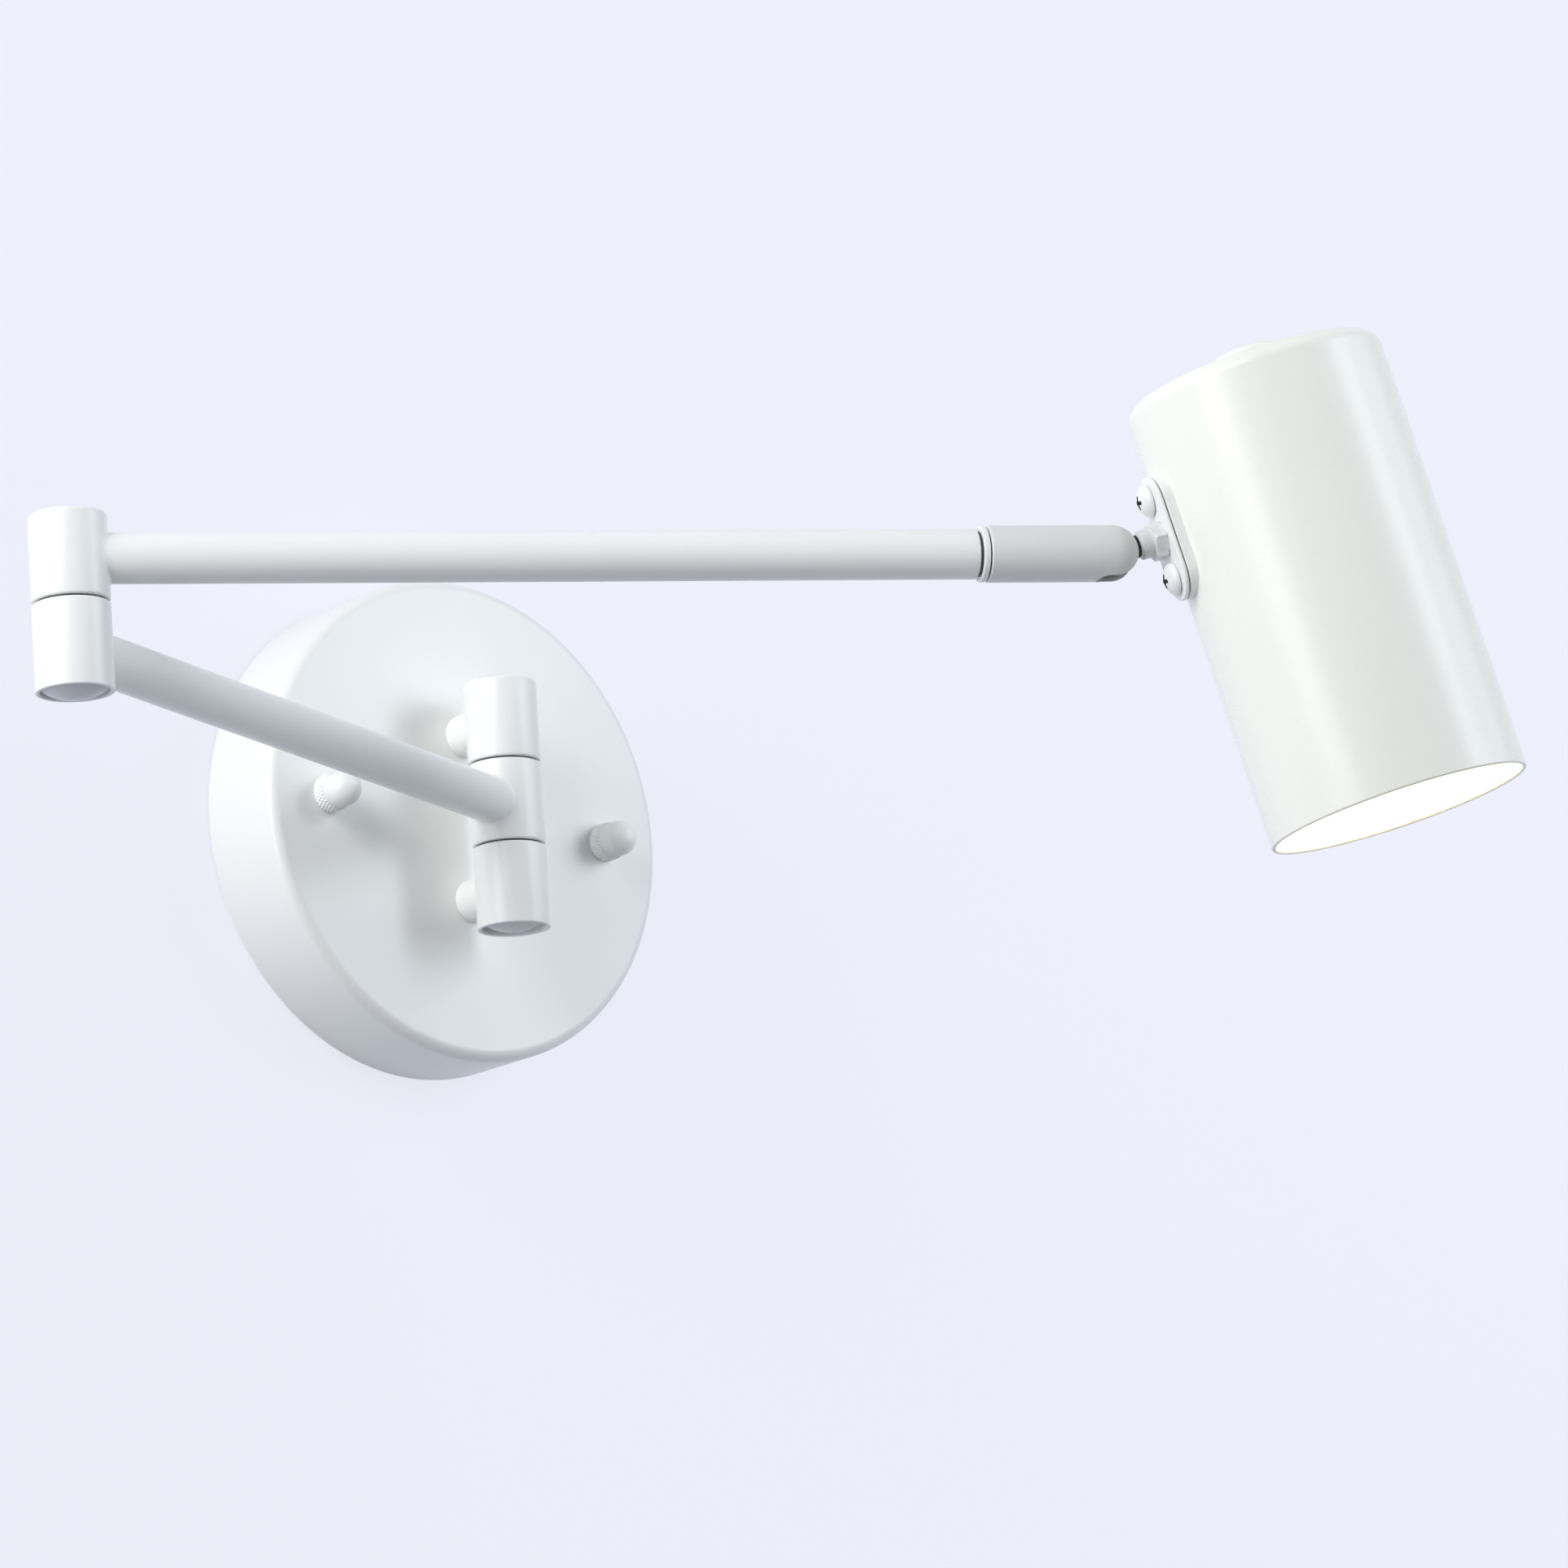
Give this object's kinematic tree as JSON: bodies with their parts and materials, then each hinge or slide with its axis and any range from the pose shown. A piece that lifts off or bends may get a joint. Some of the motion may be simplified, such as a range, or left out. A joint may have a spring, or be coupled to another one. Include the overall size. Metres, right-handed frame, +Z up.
{
  "type": "wall lamp",
  "caption": "Articulating wall lamp: round canopy, folding arms on stacked pivot knuckles, slotted ball joint and a cylindrical shade open at its lower end.",
  "frame": {"origin": "centre of the wall plate's slotted screw pattern, in the plane of the wall", "axes": "+Z up, +Y into the wall, so the lamp stands out of the wall along -Y; +X to the right as seen from the room"},
  "size_m": [0.3208, 0.3003, 0.1362],
  "materials": {
    "powder_coat": "white powder coat, satin with a fine orange peel",
    "plated_white": "white powder coat over a fine knurl",
    "grey_plug": "light grey moulded plastic, satin",
    "zinc_steel": "zinc-plated steel",
    "brass": "bare brass",
    "nylon": "dark nylon",
    "moulded_white": "white moulded thermoplastic",
    "bulb_shell": "rolled aluminium",
    "opal_glass": "opal glass"
  },
  "bodies": {
    "wall_base": {"canopy": "powder_coat", "wall_plate": "zinc_steel", "mounting_studs": "zinc_steel", "cap_nuts": "plated_white", "terminal_block": "moulded_white", "earth_screw": "brass", "wall_spigots": "powder_coat", "spigot_nuts": "zinc_steel", "upper_wall_knuckle": "powder_coat", "lower_wall_knuckle": "powder_coat", "shoulder_pivot_tube": "zinc_steel", "shoulder_pivot_nut": "zinc_steel", "shoulder_washers": "nylon", "shoulder_plug": "grey_plug"},
    "first_arm": {"shoulder_knuckle": "powder_coat", "arm_1_tube": "powder_coat", "elbow_lower_knuckle": "powder_coat", "elbow_plug": "grey_plug"},
    "second_arm": {"elbow_upper_knuckle": "powder_coat", "elbow_pivot_tube": "zinc_steel", "elbow_pivot_nut": "zinc_steel", "elbow_washer": "nylon", "arm_2_tube": "powder_coat", "swivel_spindle": "powder_coat", "swivel_washers": "nylon", "spindle_nut": "zinc_steel"},
    "swivel": {"swivel_sleeve": "powder_coat", "sleeve_bush": "nylon", "preload_ring": "zinc_steel", "disc_springs": "zinc_steel", "ball_seat": "nylon"},
    "ball_stem": {"ball_stud": "powder_coat", "stem_nut": "zinc_steel"},
    "head": {"head_bracket": "powder_coat", "bracket_screws": "powder_coat", "bracket_nuts": "zinc_steel", "shade": "powder_coat", "rear_cap": "powder_coat", "holder_nipple": "zinc_steel", "lampholder": "moulded_white", "bulb_cap": "bulb_shell", "bulb_glass": "opal_glass"}
  },
  "joints": [
    {"name": "shoulder_swing", "type": "hinge", "parent": "wall_base", "child": "first_arm", "pos_m": [0, -0.042, 0], "axis": [0, 0, 1], "range_deg": [-17.6, 152.4]},
    {"name": "elbow_swing", "type": "hinge", "parent": "first_arm", "child": "second_arm", "pos_m": [-0.19203, -0.12193, 0], "axis": [0, 0, -1], "range_deg": [-20.2, 129.8]},
    {"name": "head_roll", "type": "hinge", "parent": "second_arm", "child": "swivel", "pos_m": [0.02952, -0.23776, 0.0215], "axis": [0.8862, -0.4633, 0], "range_deg": [-175, 175]},
    {"name": "head_tilt", "type": "hinge", "parent": "swivel", "child": "ball_stem", "pos_m": [0.02952, -0.23776, 0.0215], "axis": [0.4633, 0.8862, 0], "range_deg": [-5.5, 104.5]},
    {"name": "head_spin", "type": "hinge", "parent": "ball_stem", "child": "head", "pos_m": [0.02952, -0.23776, 0.0215], "axis": [0.858, -0.4485, 0.2504], "range_deg": [-175, 175]}
  ]
}
